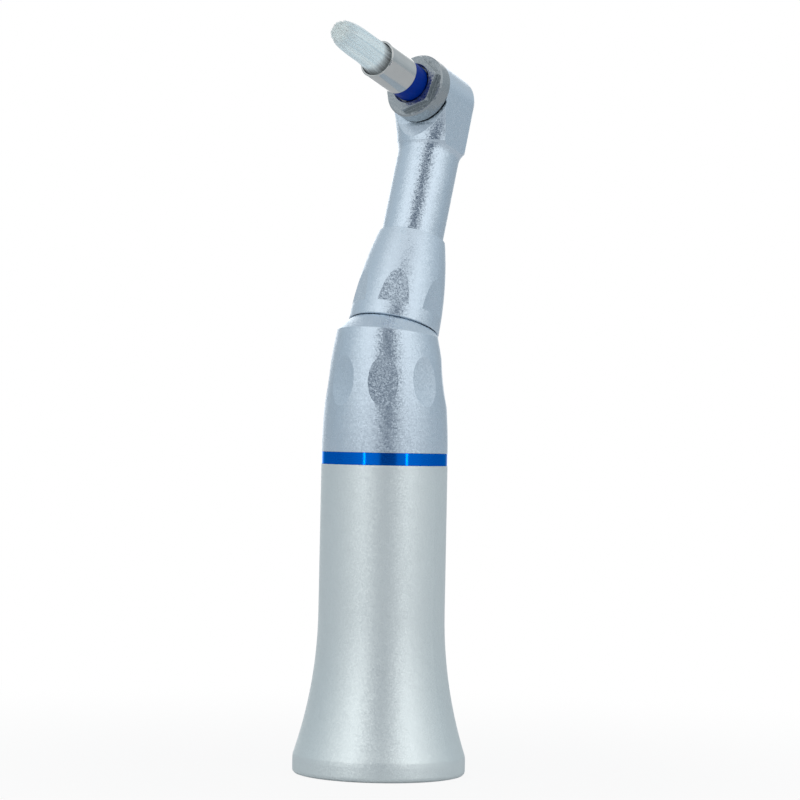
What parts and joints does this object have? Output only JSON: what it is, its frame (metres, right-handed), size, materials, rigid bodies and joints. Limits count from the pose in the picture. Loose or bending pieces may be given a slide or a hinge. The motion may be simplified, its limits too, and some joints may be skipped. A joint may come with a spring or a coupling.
{
  "type": "contra angle handpiece",
  "caption": "Dental contra angle handpiece with a bent shank, lock collar, geared head and a push-fit polishing brush.",
  "frame": {"origin": "centre of the rear opening of the handle, in the plane of the rim", "axes": "+Z along the handle axis towards the bend; the YZ plane is the plane of symmetry; the neck leans towards +Y and the brush points towards -Y and up; +X is to the right when looking along +Y"},
  "size_m": [0.02, 0.0246, 0.0863],
  "materials": {
    "sandblasted_grip": "fine sandblasted satin",
    "blue_ring": "gloss",
    "satin_shell": "fine sandblasted satin",
    "blasted_nut": "bead blasted",
    "nickel": "bright nickel",
    "blue_plastic": "gloss",
    "bristle": "translucent nylon filaments",
    "seal": "matte",
    "bronze": "machined",
    "machined_steel": "machined"
  },
  "bodies": {
    "shank": {"grip_sleeve": "sandblasted_grip", "colour_ring": "blue_ring", "front_shell": "satin_shell", "coupling_tube": "machined_steel", "index_pin": "machined_steel", "collar_seal": "seal", "drive_bearing_outer_races": "machined_steel", "drive_bearing_spacer": "machined_steel", "preload_washer": "machined_steel", "drive_bearing_circlip": "machined_steel"},
    "drive_shaft": {"drive_shaft": "machined_steel", "drive_bearing_inner_races": "machined_steel", "drive_gear": "machined_steel", "dog_clip": "machined_steel", "dog_spring": "machined_steel"},
    "drive_dog": {"drive_dog": "machined_steel"},
    "drive_cages": {"drive_bearing_cages": "bronze", "drive_bearing_balls": "machined_steel"},
    "head": {"head_housing": "satin_shell", "retaining_ring": "machined_steel", "neck_bearing_outer_races": "machined_steel", "neck_spacer_tube": "machined_steel", "neck_bearing_circlip": "machined_steel", "head_nut": "blasted_nut", "nut_washer": "seal", "front_bush": "bronze", "rear_bush": "bronze"},
    "lock_collar": {"lock_collar": "satin_shell"},
    "neck_shaft": {"neck_shaft": "machined_steel", "neck_bearing_inner_races": "machined_steel", "bend_pinion": "machined_steel", "head_pinion": "machined_steel"},
    "neck_cages": {"neck_bearing_cages": "bronze", "neck_bearing_balls": "machined_steel"},
    "rotor": {"rotor_spindle": "machined_steel", "rotor_gear": "machined_steel"},
    "brush": {"brush_hub": "blue_plastic", "brush_ferrule": "nickel", "brush_bristles": "bristle"}
  },
  "joints": [
    {"name": "drive_spin", "type": "hinge", "parent": "shank", "child": "drive_shaft", "pos_m": [0, 0, 0.0385], "axis": [0, 0, 1], "continuous": true},
    {"name": "drive_cage_spin", "type": "hinge", "parent": "shank", "child": "drive_cages", "pos_m": [0, 0, 0.0385], "axis": [0, 0, 1], "continuous": true},
    {"name": "dog_press", "type": "slide", "parent": "drive_shaft", "child": "drive_dog", "axis": [0, 0, 1], "range_m": [0, 0.001], "stiffness_N_per_m": 500, "springref_m": -0.0005, "deforming": ["dog_spring"]},
    {"name": "head_release", "type": "slide", "parent": "shank", "child": "head", "axis": [0, 0.2924, 0.9563], "range_m": [0, 0.00225]},
    {"name": "collar_unscrew", "type": "hinge", "parent": "head", "child": "lock_collar", "pos_m": [0, 0.00292, 0.05702], "axis": [0, 0.2924, 0.9563], "range_deg": [0, 1080]},
    {"name": "neck_spin", "type": "hinge", "parent": "head", "child": "neck_shaft", "pos_m": [0, 0.00468, 0.06276], "axis": [0, 0.2924, 0.9563], "continuous": true},
    {"name": "neck_cage_spin", "type": "hinge", "parent": "head", "child": "neck_cages", "pos_m": [0, 0.00468, 0.06276], "axis": [0, 0.2924, 0.9563], "continuous": true},
    {"name": "rotor_spin", "type": "hinge", "parent": "head", "child": "rotor", "pos_m": [0, 0.00956, 0.07873], "axis": [0, -0.9563, 0.2924], "continuous": true},
    {"name": "brush_pull_off", "type": "slide", "parent": "rotor", "child": "brush", "axis": [0, -0.9563, 0.2924], "range_m": [0, 0.003]}
  ],
  "couplings": [
    {"joint": "drive_cage_spin", "follows": "drive_spin", "ratio": 0.34615},
    {"joint": "neck_spin", "follows": "drive_spin", "ratio": 1},
    {"joint": "neck_cage_spin", "follows": "drive_spin", "ratio": 0.35714},
    {"joint": "rotor_spin", "follows": "drive_spin", "ratio": -1},
    {"joint": "collar_unscrew", "follows": "head_release", "rad_per_m": 8377.6}
  ]
}
